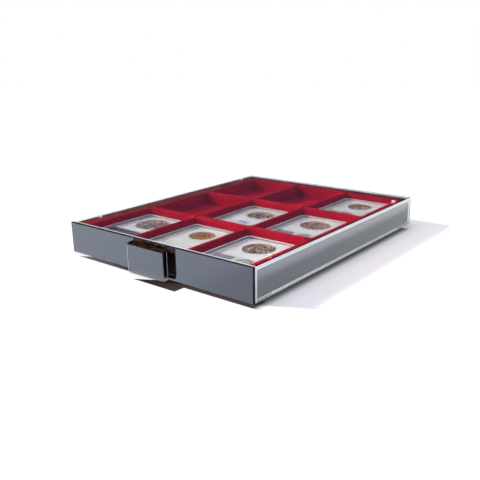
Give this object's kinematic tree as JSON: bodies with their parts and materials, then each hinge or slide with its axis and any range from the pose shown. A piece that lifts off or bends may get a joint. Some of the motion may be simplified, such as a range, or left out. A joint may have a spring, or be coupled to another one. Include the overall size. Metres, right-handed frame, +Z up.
{
  "type": "coin slab storage box",
  "caption": "Flat clear sleeve with a smoke-tinted drawer, a hooded pull and a velvet insert whose pockets hold sealed coin slabs.",
  "frame": {"origin": "centre of the sleeve's footprint with its drawer shut, on the surface that the box stands on", "axes": "+X to the right seen from the front, +Y from the drawer's front to the back, +Z up; the drawer pulls out along -Y"},
  "size_m": [0.236, 0.3116, 0.033],
  "materials": {
    "clear_plastic": "polished clear polystyrene",
    "smoke_plastic": "polished smoke-tinted clear polystyrene",
    "velvet": "flocked",
    "holder_white": "satin",
    "label_card": "satin",
    "silver": "struck",
    "bronze": "struck, toned",
    "gold_bronze": "struck"
  },
  "bodies": {
    "sleeve": {"outer_sleeve": "clear_plastic"},
    "drawer": {"drawer": "smoke_plastic", "velvet_insert": "velvet"},
    "slab_front_left": {"slab_base_front_left": "clear_plastic", "slab_lid_front_left": "clear_plastic", "coin_holder_front_left": "holder_white", "coin_front_left": "silver", "label_front_left": "label_card"},
    "slab_front_centre": {"slab_base_front_centre": "clear_plastic", "slab_lid_front_centre": "clear_plastic", "coin_holder_front_centre": "holder_white", "coin_front_centre": "gold_bronze", "label_front_centre": "label_card"},
    "slab_front_right": {"slab_base_front_right": "clear_plastic", "slab_lid_front_right": "clear_plastic", "coin_holder_front_right": "holder_white", "coin_front_right": "bronze", "label_front_right": "label_card"},
    "slab_middle_centre": {"slab_base_middle_centre": "clear_plastic", "slab_lid_middle_centre": "clear_plastic", "coin_holder_middle_centre": "holder_white", "coin_middle_centre": "silver", "label_middle_centre": "label_card"},
    "slab_middle_right": {"slab_base_middle_right": "clear_plastic", "slab_lid_middle_right": "clear_plastic", "coin_holder_middle_right": "holder_white", "coin_middle_right": "bronze", "label_middle_right": "label_card"},
    "slab_back_right": {"slab_base_back_right": "clear_plastic", "slab_lid_back_right": "clear_plastic", "coin_holder_back_right": "holder_white", "coin_back_right": "bronze", "label_back_right": "label_card"}
  },
  "joints": [
    {"name": "drawer_slide", "type": "slide", "parent": "sleeve", "child": "drawer", "axis": [0, -1, 0], "range_m": [0, 0.295]},
    {"name": "slab_lift_front_left", "type": "slide", "parent": "drawer", "child": "slab_front_left", "axis": [0, 0, 1], "range_m": [0, 0.0085]},
    {"name": "slab_lift_front_centre", "type": "slide", "parent": "drawer", "child": "slab_front_centre", "axis": [0, 0, 1], "range_m": [0, 0.0085]},
    {"name": "slab_lift_front_right", "type": "slide", "parent": "drawer", "child": "slab_front_right", "axis": [0, 0, 1], "range_m": [0, 0.0085]},
    {"name": "slab_lift_middle_centre", "type": "slide", "parent": "drawer", "child": "slab_middle_centre", "axis": [0, 0, 1], "range_m": [0, 0.0085]},
    {"name": "slab_lift_middle_right", "type": "slide", "parent": "drawer", "child": "slab_middle_right", "axis": [0, 0, 1], "range_m": [0, 0.0085]},
    {"name": "slab_lift_back_right", "type": "slide", "parent": "drawer", "child": "slab_back_right", "axis": [0, 0, 1], "range_m": [0, 0.0085]}
  ]
}
